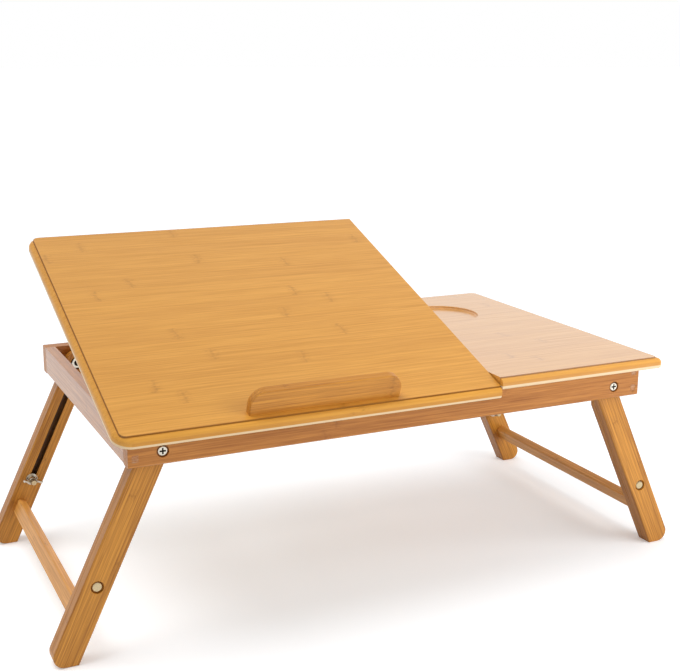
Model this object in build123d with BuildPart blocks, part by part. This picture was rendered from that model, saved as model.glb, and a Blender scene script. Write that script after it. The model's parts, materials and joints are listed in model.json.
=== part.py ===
from build123d import *
import os
from math import asin, cos, degrees, radians, sin, tan

# Folding laptop stand of laminated bamboo: a fixed panel over a side drawer, and a panel that tilts
# on two small hinges and is propped up from below. The legs fold in under the frame, and each is two
# planks clamped together by a wing nut, so the stand can be raised.
# X runs to the right, Y to the back, Z up. The origin is on the floor, under the middle of the frame.

os.makedirs("parts", exist_ok=True)

# Frame
frame_length = 507.0
frame_width = 323.0
apron_thickness = 13.0
apron_height = 27.5
rail_thickness = 10.0
flat_height = 208.0
edge_ease = 1.2

# Tenons of the rails, whose ends show on the aprons
tenon_width = 5.5
tenon_shoulder = 1.1
lower_tenon_height = 6.2
lower_tenon_rise = 4.6
upper_tenon_height = 4.5
upper_tenon_drop = 3.0

# Panels
panel_thickness = 10.5
panel_depth = 345.0
tilting_panel_width = 355.0
fixed_panel_width = 184.0
panel_joint = 1.0
left_overhang = 12.5
tilting_corner_radius = 16.0
fixed_front_corner_radius = 5.5
fixed_back_corner_radius = 9.0
moulding_width = 5.0
moulding_step = 1.2
moulding_round = 4.6
field_corner_radius = 6.0
underside_chamfer = 1.0
dowel_radius = 3.0
dowel_length = 20.0
dowel_depth_in_panel = 7.5
dowel_inset = 30.0

# Round recess for a cup
cup_radius = 41.0
cup_depth = 3.0
cup_from_joint = 83.0
cup_y = 82.0
cup_floor_fillet = 1.4
cup_rim_fillet = 0.7

# Tilting
rest_tilt = 19.3
extra_tilt = 5.0
hinge_inset = 2.0
hinge_drop = 1.9
panel_lift = 0.3
relief_clearance = 0.4
knuckle_radius = 1.8
hinge_pin_radius = 1.0
running_fit = 0.05
hinge_length = 40.0
middle_knuckle = 16.0
knuckle_gap = 0.3
leaf_thickness = 1.0
leaf_width = 18.0
leaf_clearance = 0.4
left_hinge_inset = 96.0
right_hinge_inset = 39.0
leaf_screw_spacing = 26.0
leaf_screw_radius = 1.2
leaf_screw_head_radius = 2.2
leaf_screw_length = 8.0

# Stop ledge
ledge_inset = 114.0
ledge_length = 140.0
ledge_height = 22.5
ledge_thickness = 8.0
ledge_setback = 10.0
ledge_corner_radius = 14.0
ledge_ease = 1.0
ledge_screw_spacing = 70.0
ledge_screw_radius = 1.8
ledge_screw_head_radius = 3.4
ledge_screw_length = 22.0

# Prop
right_hinge_from_prop = 50.0
prop_length = 85.0
prop_width = 16.0
prop_thickness = 8.0
prop_pin_from_hinge = 208.5
prop_pin_drop = 5.1
prop_pin_radius = 1.5
bracket_gap = 1.0
bracket_thickness = 1.5
bracket_flange = 15.0
bracket_length = 20.0
bracket_ear_reach = 4.5
bracket_screw_spacing = 12.0
foot_pin_radius = 2.5
foot_pin_play = 0.4
batten_gap = 26.0
batten_thickness = 8.0
batten_height = 18.0
batten_rise = 2.0
notch_width = 7.0
notch_depth = 5.0
notch_pitch = 14.0
notch_count = 5

# Drawer and its bay
divider_thickness = 12.0
divider_housing = 3.0
bay_wall_thickness = 10.0
runner_width = 10.0
runner_height = 5.2
drawer_half_width = 100.0
drawer_side_play = 1.0
drawer_play = 0.3
drawer_front_thickness = 10.0
drawer_front_gap = 0.5
drawer_back_gap = 8.0
drawer_board = 8.0
drawer_side_height = 19.0
drawer_floor_thickness = 3.0
drawer_floor_rise = 3.0
drawer_groove = 4.0
knob_stem_radius = 4.0
knob_stem_length = 4.5
knob_radius = 7.0
knob_length = 13.5
knob_screw_radius = 1.6
knob_screw_head_radius = 3.6
knob_screw_head_height = 1.8
knob_screw_length = 19.0

# Legs
splay = 25.2
pivot_inset = 29.0
pivot_rise = 11.2
leg_width = 24.0
foot_radius = 10.0
leg_ease = 1.0
spacer_thickness = 2.5
spacer_radius = 7.0
outer_plank_thickness = 10.0
inner_plank_thickness = 7.7
plank_play = 0.3
inner_plank_top = 14.0
fold_clearance = 0.4
pivot_radius = 3.0
pivot_head_radius = 4.25
pivot_head_height = 2.2
pivot_recess_length = 5.4
pivot_recess_width = 1.4
pivot_recess_depth = 1.4
pivot_counterbore_radius = 5.25
pivot_counterbore_depth = 2.5
pivot_nut_width = 10.0
pivot_nut_thickness = 4.8
pivot_nut_pocket_radius = 6.5
pivot_nut_pocket_depth = 5.0
bolt_from_pivot = 127.0
bolt_radius = 2.5
bolt_length = 28.0
bolt_head_radius = 4.75
bolt_head_height = 2.6
bolt_head_round = 2.1
bolt_counterbore_radius = 5.5
bolt_counterbore_depth = 3.0
slot_play = 0.3
height_travel = 95.0
washer_radius = 6.0
washer_thickness = 1.0
stretcher_from_pivot = 158.0
stretcher_width = 15.0
stretcher_thickness = 9.0
stretcher_tenon = 4.0
stretcher_shoulder = 1.5
stretcher_ease = 1.0

# Wing nuts
nut_radius = 4.5
nut_length = 7.0
nut_taper = 4.0
nut_play = 0.1
wing_span = 20.0
wing_thickness = 1.8
wing_reach = 10.0
wing_corner = 1.1
wing_root = 3.0
wing_root_bottom = 1.0
wing_root_top = 6.3
wing_waist = 8.0
wing_waist_height = 3.5
wing_tip = 6.2
screw_play = 0.05
recess_depth = 1.0
recess_width = 0.9

# Levels and faces that follow from the sizes
frame_top = flat_height - panel_thickness
frame_bottom = frame_top - apron_height
apron_outer = frame_width / 2
apron_inner = apron_outer - apron_thickness
apron_middle = (apron_inner + apron_outer) / 2
rail_outer = frame_length / 2
rail_inner = rail_outer - rail_thickness
panel_left = -rail_outer - left_overhang
tilting_edge = panel_left + tilting_panel_width
fixed_edge = tilting_edge + panel_joint
panel_right = fixed_edge + fixed_panel_width
joint_middle = (tilting_edge + fixed_edge) / 2

hinge_y = -apron_inner + hinge_inset
hinge_z = frame_top - hinge_drop
flat_underside = frame_top + panel_lift
flat_surface = flat_underside + panel_thickness
hinge_line = Axis((0, hinge_y, hinge_z), (1, 0, 0))
hinge_places = (panel_left + left_hinge_inset, tilting_edge - right_hinge_inset)
prop_x = hinge_places[-1] - right_hinge_from_prop
prop_middle = Plane.YZ.offset(prop_x)

pivot_x = rail_outer - pivot_inset
pivot_z = frame_bottom + pivot_rise
half_leg = leg_width / 2
outer_plank_y = apron_inner - spacer_thickness
inner_plank_y = outer_plank_y - outer_plank_thickness - plank_play
leg_inside_y = inner_plank_y - inner_plank_thickness
folded_leg_top = pivot_z + half_leg
tenon_x = rail_inner + tenon_shoulder + tenon_width / 2


def keep(piece, name):
    """Label a finished piece and write it under its name."""
    piece.label = name
    export_step(piece, f"parts/{name}.step")


def keep_front_and_back(piece, name):
    """Keep a piece of the back half, and its mirror image in the front half."""
    keep(piece, f"back_{name}")
    keep(piece.mirror(Plane.XZ), f"front_{name}")


def keep_left_and_right(piece, name):
    """Keep a piece of the right half, and its mirror image in the left half."""
    keep(piece, f"right_{name}")
    keep(piece.mirror(Plane.YZ), f"left_{name}")


def keep_at_corners(piece, name):
    """Keep a piece of the back right corner, and its mirror images at the other three."""
    keep_front_and_back(piece, f"right_{name}")
    keep_front_and_back(piece.mirror(Plane.YZ), f"left_{name}")


def facing_front(y):
    """The upright plane at one Y: its sketches are in X and Z, and it extrudes towards the front."""
    return Plane.XZ.offset(-y)


def leg_plane(y):
    """The plane of a right leg at one Y: its X runs down the leg from the pivot, its Y outwards."""
    down_leg = (sin(radians(splay)), 0, -cos(radians(splay)))
    return Plane(origin=(pivot_x, y, pivot_z), x_dir=down_leg, z_dir=(0, -1, 0))


def foot_reach(across):
    """How far down the leg the floor is, at a distance across it from its centre line."""
    return (pivot_z + across * sin(radians(splay))) / cos(radians(splay))


def relief_height(y):
    """Height of the frame's relief: the tilting panel's underside at full tilt, less a clearance."""
    full_tilt = radians(rest_tilt + extra_tilt)
    below_panel = flat_underside - hinge_z - relief_clearance
    return hinge_z + below_panel / cos(full_tilt) + (y - hinge_y) * tan(full_tilt)


def countersunk_screw(head_radius, shank_radius, length, play=0.0):
    """A countersunk screw pointing down from the origin, or the hole for one, wider by the play."""
    cone = head_radius - shank_radius
    with BuildPart() as screw:
        with BuildSketch(Plane.XZ):
            with BuildLine():
                Polyline((0, 0), (head_radius + play, 0), (shank_radius + play, -cone),
                         (shank_radius + play, -length - play), (0, -length - play), close=True)
            make_face()
        revolve(axis=Axis.Z)
        if play == 0:
            with BuildSketch(Plane.XY):
                Rectangle(head_radius, recess_width / 2)
                Rectangle(recess_width / 2, head_radius)
            extrude(amount=-recess_depth / 2, mode=Mode.SUBTRACT)
    return screw.part


def tenon_ends(x):
    """The outlines of a rail's twin tenons, in an upright plane."""
    with Locations((x, frame_bottom + lower_tenon_rise + lower_tenon_height / 2)):
        Rectangle(tenon_width, lower_tenon_height)
    with Locations((x, frame_top - upper_tenon_drop - upper_tenon_height / 2)):
        Rectangle(tenon_width, upper_tenon_height)


def dowel_section(radius):
    """The sections of the four dowels, or of their holes, in a level plane."""
    for x in (fixed_edge + dowel_inset, rail_inner - dowel_inset):
        with Locations((x, -apron_middle), (x, apron_middle)):
            Circle(radius)


def moulded_panel(left, right, underside, joint, front_radius, back_radius):
    """A panel with a moulded edge on three sides, and a straight edge at the joint between the panels."""
    width = right - left
    outward = 1 if joint == left else -1
    with BuildPart() as panel:
        with BuildSketch(Plane.XY.offset(underside)) as outline:
            with Locations(((left + right) / 2, 0)):
                Rectangle(width, panel_depth)
            rounded_corners(outline, outward, front_radius, back_radius)
        extrude(amount=panel_thickness - moulding_step)
        for face, cut in ((0, "chamfer"), (-1, "fillet")):
            edges = panel.faces().sort_by(Axis.Z)[face].edges()
            outer_edges = edges.filter_by(lambda edge: abs(edge.center().X - joint) > panel_joint)
            if cut == "chamfer":
                chamfer(outer_edges, underside_chamfer)
            else:
                fillet(outer_edges, moulding_round)
        # The raised field inside the moulding
        with BuildSketch(Plane.XY.offset(underside + panel_thickness - moulding_step)) as field:
            with Locations(((left + right - outward * moulding_width) / 2, 0)):
                Rectangle(width - moulding_width, panel_depth - 2 * moulding_width)
            rounded_corners(field, outward, min(field_corner_radius, front_radius - moulding_width / 2),
                            min(field_corner_radius, back_radius - moulding_width / 2))
        extrude(amount=moulding_step)
    return panel.part


def rounded_corners(outline, outward, front_radius, back_radius):
    """Round the two corners of a panel's outline that lie on its outer side."""
    for end, radius in ((0, front_radius), (-1, back_radius)):
        corners = outline.vertices().group_by(Axis.Y)[end].sort_by(Axis.X)
        fillet(corners[-1] if outward > 0 else corners[0], radius)


def at_rest(piece):
    """Turn a piece of the flat tilting panel about the hinge line, up to its rest tilt."""
    return piece.rotate(hinge_line, rest_tilt)


# ---------------------------------------------------------------- screw places

leaf_screw = countersunk_screw(leaf_screw_head_radius, leaf_screw_radius, leaf_screw_length)
leaf_screw_hole = countersunk_screw(leaf_screw_head_radius, leaf_screw_radius, leaf_screw_length, screw_play)
ledge_screw = countersunk_screw(ledge_screw_head_radius, ledge_screw_radius, ledge_screw_length)
ledge_screw_hole = countersunk_screw(ledge_screw_head_radius, ledge_screw_radius, ledge_screw_length,
                                     screw_play)

leaf_top = hinge_z - knuckle_radius - leaf_clearance
leaf_face_y = -apron_inner + leaf_thickness
plate_start = hinge_y + knuckle_radius + leaf_clearance
leaf_face_z = flat_underside - leaf_thickness
frame_screw_places = []
panel_screw_places = []
for hinge_x in hinge_places:
    for side in (-0.5, 0.5):
        screw_x = hinge_x + side * leaf_screw_spacing
        frame_screw_places.append(Location((screw_x, leaf_face_y, leaf_top - leaf_width / 2), (-90, 0, 0)))
        panel_screw_places.append(Location((screw_x, plate_start + leaf_width / 2, leaf_face_z), (180, 0, 0)))

ledge_middle = panel_left + ledge_inset + ledge_length / 2
ledge_front = -panel_depth / 2 + ledge_setback
ledge_screw_places = [Location((ledge_middle + side * ledge_screw_spacing, ledge_front + ledge_thickness / 2,
                                flat_underside), (180, 0, 0)) for side in (-0.5, 0.5)]

prop_pin_y = hinge_y + prop_pin_from_hinge
prop_pin_z = flat_underside - prop_pin_drop
batten_bottom = frame_bottom + batten_rise
batten_top = batten_bottom + batten_height
foot_z = batten_top - notch_depth + foot_pin_radius
lift = radians(rest_tilt)
pin_below_hinge = hinge_z - prop_pin_z
rest_pin_y = hinge_y + prop_pin_from_hinge * cos(lift) + pin_below_hinge * sin(lift)
rest_pin_z = hinge_z + prop_pin_from_hinge * sin(lift) - pin_below_hinge * cos(lift)
prop_slope = asin((rest_pin_z - foot_z) / prop_length)
foot_y = rest_pin_y - prop_length * cos(prop_slope)
rest_prop_turn = degrees(prop_slope) - rest_tilt
print(f"The prop turns {rest_prop_turn:.3f} degrees, {rest_prop_turn / rest_tilt:.5f} of the tilt")
print(f"Prop pin at rest: y {rest_pin_y:.3f}, z {rest_pin_z:.3f}")
ear_inside = prop_width / 2 + bracket_gap
bracket_screw_x = ear_inside + bracket_thickness + bracket_flange / 2
bracket_screw_places = [Location((prop_x + side * bracket_screw_x, prop_pin_y + end * bracket_screw_spacing,
                                  flat_underside - bracket_thickness), (180, 0, 0))
                        for side in (-1, 1) for end in (-0.5, 0.5)]


# ---------------------------------------------------------------- frame

# The space that the tilting panel's front edge swings down into
with BuildPart() as relief:
    with BuildSketch(Plane.YZ.offset(panel_left)):
        front = -apron_outer - panel_joint
        back = -apron_inner + hinge_inset
        with BuildLine():
            Polyline((front, relief_height(front)), (back, relief_height(back)),
                     (back, frame_top + panel_thickness), (front, frame_top + panel_thickness), close=True)
        make_face()
    extrude(amount=joint_middle - panel_left)

# The divider stands between the bay walls, and hangs on the aprons by an ear at each end that is
# high enough for the folded legs to pass below it
bay_half = drawer_half_width + drawer_side_play + bay_wall_thickness
divider_right = joint_middle + divider_thickness / 2
ear_bottom = folded_leg_top + fold_clearance
with BuildPart() as whole_divider:
    with BuildSketch(Plane.XY.offset(frame_bottom)):
        with Locations((joint_middle, 0)):
            Rectangle(divider_thickness, 2 * bay_half)
    extrude(amount=apron_height)
    with BuildSketch(Plane.XY.offset(ear_bottom)):
        with Locations((joint_middle, 0)):
            Rectangle(divider_thickness, 2 * (apron_inner + divider_housing))
    extrude(amount=frame_top - ear_bottom)

with BuildPart() as divider:
    add(whole_divider.part)
    add(relief.part, mode=Mode.SUBTRACT)
keep(divider.part, "divider")

# The dowels that hold the fixed panel on the aprons, and the holes for them
dowel_level = frame_top + dowel_depth_in_panel - dowel_length
with BuildPart() as panel_dowels:
    with BuildSketch(Plane.XY.offset(dowel_level)):
        dowel_section(dowel_radius)
    extrude(amount=dowel_length)
keep(panel_dowels.part, "panel_dowels")

with BuildPart() as dowel_holes:
    with BuildSketch(Plane.XY.offset(dowel_level - screw_play)):
        dowel_section(dowel_radius + screw_play)
    extrude(amount=dowel_length + 2 * screw_play)

with BuildPart() as back_apron:
    with BuildSketch(Plane.YZ.offset(-rail_outer)) as section:
        with Locations((apron_middle, (frame_bottom + frame_top) / 2)):
            Rectangle(apron_thickness, apron_height)
        chamfer(section.vertices().group_by(Axis.Y)[0], edge_ease)
    extrude(amount=frame_length)
    # Through mortises for the rails' tenons
    with BuildSketch(facing_front(apron_outer)):
        tenon_ends(tenon_x)
        tenon_ends(-tenon_x)
    extrude(amount=apron_thickness, mode=Mode.SUBTRACT)
    # Bores and counterbores for the pivot screws
    for radius, depth in ((pivot_radius + running_fit, apron_thickness),
                          (pivot_counterbore_radius, pivot_counterbore_depth)):
        with BuildSketch(facing_front(apron_outer)):
            with Locations((pivot_x, pivot_z), (-pivot_x, pivot_z)):
                Circle(radius)
        extrude(amount=depth, mode=Mode.SUBTRACT)
    add(dowel_holes.part, mode=Mode.SUBTRACT)
    add(whole_divider.part, mode=Mode.SUBTRACT)
keep(back_apron.part, "back_apron")

with BuildPart() as front_apron:
    add(back_apron.part.mirror(Plane.XZ))
    add(relief.part, mode=Mode.SUBTRACT)
    with Locations(*frame_screw_places):
        add(leaf_screw_hole, mode=Mode.SUBTRACT)
keep(front_apron.part, "front_apron")

with BuildPart() as whole_rail:
    with BuildSketch(facing_front(apron_inner)) as section:
        with Locations((-(rail_inner + rail_outer) / 2, (frame_bottom + frame_top) / 2)):
            Rectangle(rail_thickness, apron_height)
        chamfer(section.vertices().group_by(Axis.Y)[0], edge_ease)
    extrude(amount=2 * apron_inner)
    with BuildSketch(facing_front(apron_outer)):
        tenon_ends(-tenon_x)
    extrude(amount=frame_width)

with BuildPart() as left_rail:
    add(whole_rail.part)
    add(relief.part, mode=Mode.SUBTRACT)
keep(left_rail.part, "left_rail")

with BuildPart() as right_rail:
    add(whole_rail.part.mirror(Plane.YZ))
    # The drawer's mouth, open to the top
    with BuildSketch(Plane.XY.offset(frame_bottom + runner_height)):
        with Locations(((rail_inner + rail_outer) / 2, 0)):
            Rectangle(2 * rail_thickness, 2 * (drawer_half_width + drawer_side_play))
    extrude(amount=apron_height, mode=Mode.SUBTRACT)
keep(right_rail.part, "right_rail")

# A bay wall, with the runner that a drawer side slides on
with BuildPart() as bay_wall:
    with BuildSketch(Plane.YZ.offset(divider_right)):
        wall_inside = bay_half - bay_wall_thickness
        runner_top = frame_bottom + runner_height
        with BuildLine():
            Polyline((wall_inside - runner_width, frame_bottom), (bay_half, frame_bottom),
                     (bay_half, frame_top), (wall_inside, frame_top), (wall_inside, runner_top),
                     (wall_inside - runner_width, runner_top), close=True)
        make_face()
    extrude(amount=rail_inner - divider_right)
keep_front_and_back(bay_wall.part, "bay_wall")

# Battens between the aprons, on whose notches the prop's foot pin rests
with BuildPart() as batten:
    with BuildSketch(prop_middle.offset(batten_gap / 2)):
        with Locations((0, (batten_bottom + batten_top) / 2)):
            Rectangle(2 * apron_inner, batten_height)
        for notch in range(notch_count):
            with Locations((foot_y + (notch - notch_count // 2) * notch_pitch, batten_top)):
                Rectangle(notch_width, 2 * notch_depth, mode=Mode.SUBTRACT)
    extrude(amount=batten_thickness)
keep(batten.part, "right_batten")
keep(batten.part.mirror(prop_middle), "left_batten")

# ---------------------------------------------------------------- fixed panel

with BuildPart() as fixed_panel:
    add(moulded_panel(fixed_edge, panel_right, frame_top, fixed_edge, fixed_front_corner_radius,
                      fixed_back_corner_radius))
    add(dowel_holes.part, mode=Mode.SUBTRACT)
    with BuildSketch(Plane.XY.offset(flat_height)):
        with Locations((fixed_edge + cup_from_joint, cup_y)):
            Circle(cup_radius)
    extrude(amount=-cup_depth, mode=Mode.SUBTRACT)
    round_edges = fixed_panel.edges().filter_by(GeomType.CIRCLE)
    cup_edges = round_edges.filter_by(lambda edge: abs(edge.radius - cup_radius) < screw_play).sort_by(Axis.Z)
    fillet(cup_edges[0], cup_floor_fillet)
    round_edges = fixed_panel.edges().filter_by(GeomType.CIRCLE)
    cup_edges = round_edges.filter_by(lambda edge: abs(edge.radius - cup_radius) < screw_play).sort_by(Axis.Z)
    fillet(cup_edges[-1], cup_rim_fillet)
keep(fixed_panel.part, "fixed_panel")

# ---------------------------------------------------------------- hinges of the tilting panel

knuckle_end = (hinge_length - middle_knuckle) / 2 - knuckle_gap
with BuildPart() as frame_hinge_leaves:
    for hinge_x in hinge_places:
        with BuildSketch(facing_front(leaf_face_y)):
            with Locations((hinge_x, leaf_top - leaf_width / 2)):
                RectangleRounded(hinge_length, leaf_width, leaf_thickness)
        extrude(amount=leaf_thickness)
        for start in (hinge_x - hinge_length / 2, hinge_x + hinge_length / 2 - knuckle_end):
            with BuildSketch(Plane.YZ.offset(start)):
                with Locations((hinge_y, hinge_z)):
                    Circle(knuckle_radius)
                web_height = hinge_z - leaf_top + leaf_thickness
                with Locations((-apron_inner + leaf_thickness / 2, hinge_z - web_height / 2)):
                    Rectangle(leaf_thickness, web_height)
            extrude(amount=knuckle_end)
        with BuildSketch(Plane.YZ.offset(hinge_x - hinge_length / 2)):
            with Locations((hinge_y, hinge_z)):
                Circle(hinge_pin_radius + running_fit)
        extrude(amount=hinge_length, mode=Mode.SUBTRACT)
    with Locations(*frame_screw_places):
        add(leaf_screw_hole, mode=Mode.SUBTRACT)
keep(frame_hinge_leaves.part, "frame_hinge_leaves")

with BuildPart() as hinge_pins:
    for hinge_x in hinge_places:
        with BuildSketch(Plane.YZ.offset(hinge_x - hinge_length / 2)):
            with Locations((hinge_y, hinge_z)):
                Circle(hinge_pin_radius)
        extrude(amount=hinge_length)
keep(hinge_pins.part, "hinge_pins")

with BuildPart() as frame_hinge_screws:
    with Locations(*frame_screw_places):
        add(leaf_screw)
keep(frame_hinge_screws.part, "frame_hinge_screws")

with BuildPart() as panel_hinge_leaves:
    for hinge_x in hinge_places:
        with BuildSketch(Plane.XY.offset(flat_underside - leaf_thickness)):
            with Locations((hinge_x, plate_start + leaf_width / 2)):
                RectangleRounded(hinge_length, leaf_width, leaf_thickness)
        extrude(amount=leaf_thickness)
        with BuildSketch(Plane.YZ.offset(hinge_x - middle_knuckle / 2)):
            with Locations((hinge_y, hinge_z)):
                Circle(knuckle_radius)
            web_length = plate_start + leaf_thickness - hinge_y
            with Locations((hinge_y + web_length / 2, flat_underside - leaf_thickness / 2)):
                Rectangle(web_length, leaf_thickness)
        extrude(amount=middle_knuckle)
        with BuildSketch(Plane.YZ.offset(hinge_x - hinge_length / 2)):
            with Locations((hinge_y, hinge_z)):
                Circle(hinge_pin_radius + running_fit)
        extrude(amount=hinge_length, mode=Mode.SUBTRACT)
    with Locations(*panel_screw_places):
        add(leaf_screw_hole, mode=Mode.SUBTRACT)
keep(at_rest(panel_hinge_leaves.part), "panel_hinge_leaves")

with BuildPart() as panel_hinge_screws:
    with Locations(*panel_screw_places):
        add(leaf_screw)
keep(at_rest(panel_hinge_screws.part), "panel_hinge_screws")

# ---------------------------------------------------------------- tilting panel and its stop ledge

with BuildPart() as tilting_panel:
    add(moulded_panel(panel_left, tilting_edge, flat_underside, tilting_edge, tilting_corner_radius,
                      tilting_corner_radius))
    with Locations(*panel_screw_places, *bracket_screw_places):
        add(leaf_screw_hole, mode=Mode.SUBTRACT)
    with Locations(*ledge_screw_places):
        add(ledge_screw_hole, mode=Mode.SUBTRACT)
keep(at_rest(tilting_panel.part), "tilting_panel")

with BuildPart() as stop_ledge:
    with BuildSketch(facing_front(ledge_front + ledge_thickness)) as outline:
        with Locations((ledge_middle, flat_surface + ledge_height / 2)):
            Rectangle(ledge_length, ledge_height)
        fillet(outline.vertices().group_by(Axis.Y)[-1], ledge_corner_radius)
    extrude(amount=ledge_thickness)
    for face in (stop_ledge.faces().sort_by(Axis.Y)[0], stop_ledge.faces().sort_by(Axis.Y)[-1]):
        upper_edges = face.edges().filter_by(lambda edge: edge.center().Z > flat_surface + screw_play)
        fillet(upper_edges, ledge_ease)
    with Locations(*ledge_screw_places):
        add(ledge_screw_hole, mode=Mode.SUBTRACT)
keep(at_rest(stop_ledge.part), "stop_ledge")

with BuildPart() as ledge_screws:
    with Locations(*ledge_screw_places):
        add(ledge_screw)
keep(at_rest(ledge_screws.part), "ledge_screws")

# ---------------------------------------------------------------- prop

with BuildPart() as prop_brackets:
    with BuildSketch(Plane.XY.offset(flat_underside - bracket_thickness)):
        with Locations((prop_x + ear_inside + (bracket_thickness + bracket_flange) / 2, prop_pin_y)):
            Rectangle(bracket_thickness + bracket_flange, bracket_length)
    extrude(amount=bracket_thickness)
    with BuildSketch(prop_middle.offset(ear_inside)):
        with Locations((prop_pin_y, prop_pin_z)):
            Circle(bracket_ear_reach)
        with Locations((prop_pin_y, (prop_pin_z + flat_underside) / 2)):
            Rectangle(2 * bracket_ear_reach, prop_pin_drop)
    extrude(amount=bracket_thickness)
    with BuildSketch(prop_middle.offset(ear_inside)):
        with Locations((prop_pin_y, prop_pin_z)):
            Circle(prop_pin_radius + screw_play)
    extrude(amount=bracket_thickness, mode=Mode.SUBTRACT)
    mirror(about=prop_middle)
    with Locations(*bracket_screw_places):
        add(leaf_screw_hole, mode=Mode.SUBTRACT)
keep(at_rest(prop_brackets.part), "prop_brackets")

with BuildPart() as bracket_screws:
    with Locations(*bracket_screw_places):
        add(leaf_screw)
keep(at_rest(bracket_screws.part), "bracket_screws")

with BuildPart() as prop_pin:
    with BuildSketch(prop_middle.offset(-ear_inside - bracket_thickness)):
        with Locations((prop_pin_y, prop_pin_z)):
            Circle(prop_pin_radius)
    extrude(amount=2 * (ear_inside + bracket_thickness))
keep(at_rest(prop_pin.part), "prop_pin")

prop_line = Axis((0, prop_pin_y, prop_pin_z), (1, 0, 0))
with BuildPart() as prop_strut:
    with BuildSketch(prop_middle.offset(-prop_width / 2)):
        with Locations((prop_pin_y - prop_length / 2, prop_pin_z)):
            SlotCenterToCenter(prop_length, prop_thickness)
        with Locations((prop_pin_y, prop_pin_z)):
            Circle(prop_pin_radius + running_fit, mode=Mode.SUBTRACT)
        with Locations((prop_pin_y - prop_length, prop_pin_z)):
            Circle(foot_pin_radius, mode=Mode.SUBTRACT)
    extrude(amount=prop_width)
keep(at_rest(prop_strut.part.rotate(prop_line, rest_prop_turn)), "prop_strut")

with BuildPart() as prop_foot_pin:
    with BuildSketch(prop_middle.offset(-batten_gap / 2 + foot_pin_play)):
        with Locations((prop_pin_y - prop_length, prop_pin_z)):
            Circle(foot_pin_radius)
    extrude(amount=batten_gap - 2 * foot_pin_play)
keep(at_rest(prop_foot_pin.part.rotate(prop_line, rest_prop_turn)), "prop_foot_pin")

# ---------------------------------------------------------------- drawer

drawer_back = divider_right + drawer_back_gap
drawer_inside = drawer_half_width - drawer_board
side_bottom = frame_bottom + runner_height + drawer_play
side_top = side_bottom + drawer_side_height
floor_bottom = side_bottom + drawer_floor_rise
floor_top = floor_bottom + drawer_floor_thickness
floor_half = drawer_inside + drawer_groove
knob_z = (side_bottom + frame_top) / 2

with BuildPart() as knob_screw:
    with BuildSketch(Plane.XZ):
        head_x = rail_inner - knob_screw_head_height
        with BuildLine():
            Polyline((head_x, knob_z), (head_x, knob_z + knob_screw_head_radius),
                     (rail_inner, knob_z + knob_screw_head_radius), (rail_inner, knob_z + knob_screw_radius),
                     (rail_inner + knob_screw_length, knob_z + knob_screw_radius),
                     (rail_inner + knob_screw_length, knob_z), close=True)
        make_face()
    revolve(axis=Axis((0, 0, knob_z), (1, 0, 0)))
keep(knob_screw.part, "knob_screw")

with BuildPart() as knob_screw_hole:
    with BuildSketch(Plane.YZ.offset(rail_inner)):
        with Locations((0, knob_z)):
            Circle(knob_screw_radius + screw_play)
    extrude(amount=knob_screw_length + screw_play)

with BuildPart() as drawer_bottom:
    with BuildSketch(Plane.XY.offset(floor_bottom)):
        with Locations(((drawer_back + rail_inner + drawer_groove) / 2, 0)):
            Rectangle(rail_inner + drawer_groove - drawer_back, 2 * floor_half)
    extrude(amount=drawer_floor_thickness)
keep(drawer_bottom.part, "drawer_bottom")

with BuildPart() as drawer_front:
    with BuildSketch(Plane.YZ.offset(rail_outer - drawer_front_thickness)) as outline:
        with Locations((0, (side_bottom + frame_top - drawer_front_gap) / 2)):
            Rectangle(2 * drawer_half_width, frame_top - drawer_front_gap - side_bottom)
    extrude(amount=drawer_front_thickness)
    fillet(drawer_front.faces().sort_by(Axis.X)[-1].edges(), edge_ease)
    add(drawer_bottom.part, mode=Mode.SUBTRACT)
    add(knob_screw_hole.part, mode=Mode.SUBTRACT)
keep(drawer_front.part, "drawer_front")

with BuildPart() as drawer_side:
    with BuildSketch(Plane.XY.offset(side_bottom)):
        with Locations(((drawer_back + rail_inner) / 2, drawer_half_width - drawer_board / 2)):
            Rectangle(rail_inner - drawer_back, drawer_board)
    extrude(amount=drawer_side_height)
    add(drawer_bottom.part, mode=Mode.SUBTRACT)
keep_front_and_back(drawer_side.part, "drawer_side")

with BuildPart() as drawer_rear:
    with BuildSketch(Plane.XY.offset(floor_top)):
        with Locations((drawer_back + drawer_board / 2, 0)):
            Rectangle(drawer_board, 2 * drawer_inside)
    extrude(amount=side_top - floor_top)
keep(drawer_rear.part, "drawer_rear")

with BuildPart() as drawer_knob:
    with BuildSketch(Plane.XZ):
        knob_end = rail_outer + knob_length
        knob_neck = rail_outer + knob_stem_length
        with BuildLine():
            neck = Polyline((knob_end, knob_z), (rail_outer, knob_z), (rail_outer, knob_z + knob_stem_radius),
                            (knob_neck, knob_z + knob_stem_radius))
            rim = Spline(neck @ 1, ((knob_neck + knob_end) / 2, knob_z + knob_radius), (knob_end, knob_z),
                         tangents=((0.3, 1), (0, -1)))
        make_face()
    revolve(axis=Axis((0, 0, knob_z), (1, 0, 0)))
    add(knob_screw_hole.part, mode=Mode.SUBTRACT)
keep(drawer_knob.part, "drawer_knob")

# ---------------------------------------------------------------- legs

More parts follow.
